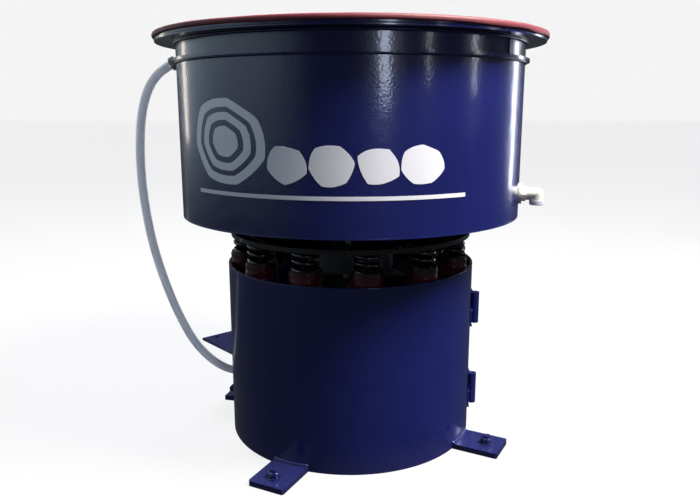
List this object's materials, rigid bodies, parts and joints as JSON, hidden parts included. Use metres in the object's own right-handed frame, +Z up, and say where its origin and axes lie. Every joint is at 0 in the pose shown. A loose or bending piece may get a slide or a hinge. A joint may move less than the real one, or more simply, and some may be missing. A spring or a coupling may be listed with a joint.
{
  "type": "vibratory rock tumbler",
  "caption": "Round-bowl vibratory tumbler: a polyurethane-lined steel bowl on coil springs over a drum base, with a vertical vibrator motor, a drain and a water hose.",
  "frame": {"origin": "on the floor under the drum's axis, at the middle of the base", "axes": "+Z up along the bowl, drum and motor axis; the front faces -Y and +X is to the right as seen from the front"},
  "size_m": [0.7413, 0.6858, 0.725],
  "materials": {
    "blue_enamel": "gloss enamel with light orange peel",
    "red_urethane": "cast polyurethane, satin",
    "black_spring_enamel": "gloss black enamel",
    "zinc_plated_steel": "zinc plated",
    "ground_steel": "ground",
    "weight_steel": "flame cut plate, oiled",
    "motor_grey_paint": "satin paint on cast iron",
    "lamination_steel": "stacked laminations",
    "copper_winding": "varnished copper wire",
    "white_fitting_plastic": "moulded, satin",
    "grey_fitting_plastic": "moulded, satin",
    "black_plastic": "moulded",
    "black_rubber": "matt",
    "ferrite": "pressed ferrite",
    "clear_vinyl": "translucent extruded vinyl"
  },
  "bodies": {
    "base": {"base_drum": "blue_enamel", "spring_shelf": "blue_enamel", "shelf_brackets": "blue_enamel", "foot_plates": "blue_enamel", "corner_foot": "blue_enamel", "tie_down_lug": "blue_enamel", "foot_washers": "blue_enamel", "foot_nuts": "blue_enamel", "levelling_screws": "blue_enamel", "tie_down_bolt": "blue_enamel", "pump_shelf": "blue_enamel", "pump_shelf_gussets": "blue_enamel", "hinge_base_knuckles": "blue_enamel", "hinge_pins": "blue_enamel", "door_magnet": "ferrite", "cable_gland": "black_plastic", "return_elbow": "black_plastic", "spring_cups": "red_urethane", "cup_bolts": "zinc_plated_steel", "cup_nuts": "zinc_plated_steel", "springs": "black_spring_enamel", "water_hose": "clear_vinyl"},
    "door": {"access_door": "blue_enamel", "hinge_door_knuckles": "blue_enamel", "door_handle": "blue_enamel"},
    "bowl": {"bowl_shell": "blue_enamel", "bowl_trough": "blue_enamel", "spring_plate": "blue_enamel", "centre_tube": "blue_enamel", "bowl_gussets": "blue_enamel", "hoop_ring": "blue_enamel", "rim_flange": "blue_enamel", "lining_wall": "red_urethane", "lining_channel_outer": "red_urethane", "lining_channel_inner": "red_urethane", "cap_gasket": "black_rubber", "centre_cap": "blue_enamel", "cap_screws": "zinc_plated_steel", "spring_plugs": "black_spring_enamel", "inlet_fitting": "white_fitting_plastic", "inlet_nut": "white_fitting_plastic", "drain_fitting": "white_fitting_plastic", "drain_strainer": "ground_steel", "drain_elbow": "white_fitting_plastic", "drain_nut": "grey_fitting_plastic", "motor_bolts": "zinc_plated_steel", "motor_nuts": "zinc_plated_steel", "motor_housing": "motor_grey_paint", "end_bells": "motor_grey_paint", "motor_bearings": "ground_steel", "stator": "lamination_steel", "stator_windings": "copper_winding", "terminal_box": "black_plastic", "terminal_lid": "black_plastic"},
    "rotor": {"motor_shaft": "ground_steel", "rotor_core": "lamination_steel", "upper_weight": "weight_steel", "upper_clamp_screw": "zinc_plated_steel"},
    "lower_weight": {"lower_weight": "weight_steel", "lower_clamp_screw": "zinc_plated_steel"}
  },
  "joints": [
    {"name": "bowl_bounce", "type": "slide", "parent": "base", "child": "bowl", "axis": [0, 0, 1], "range_m": [-0.006, 0.006], "stiffness_N_per_m": 150000, "springref_m": 0.00649, "deforming": ["springs", "water_hose"]},
    {"name": "rotor_spin", "type": "hinge", "parent": "bowl", "child": "rotor", "pos_m": [0, 0, 0.434], "axis": [0, 0, 1], "continuous": true},
    {"name": "lead_angle", "type": "hinge", "parent": "rotor", "child": "lower_weight", "pos_m": [0, 0, 0.276], "axis": [0, 0, 1], "range_deg": [0, 90]},
    {"name": "door_swing", "type": "hinge", "parent": "base", "child": "door", "pos_m": [0.23836, -0.00832, 0.146], "axis": [0, 0, -1], "range_deg": [0, 110]}
  ]
}
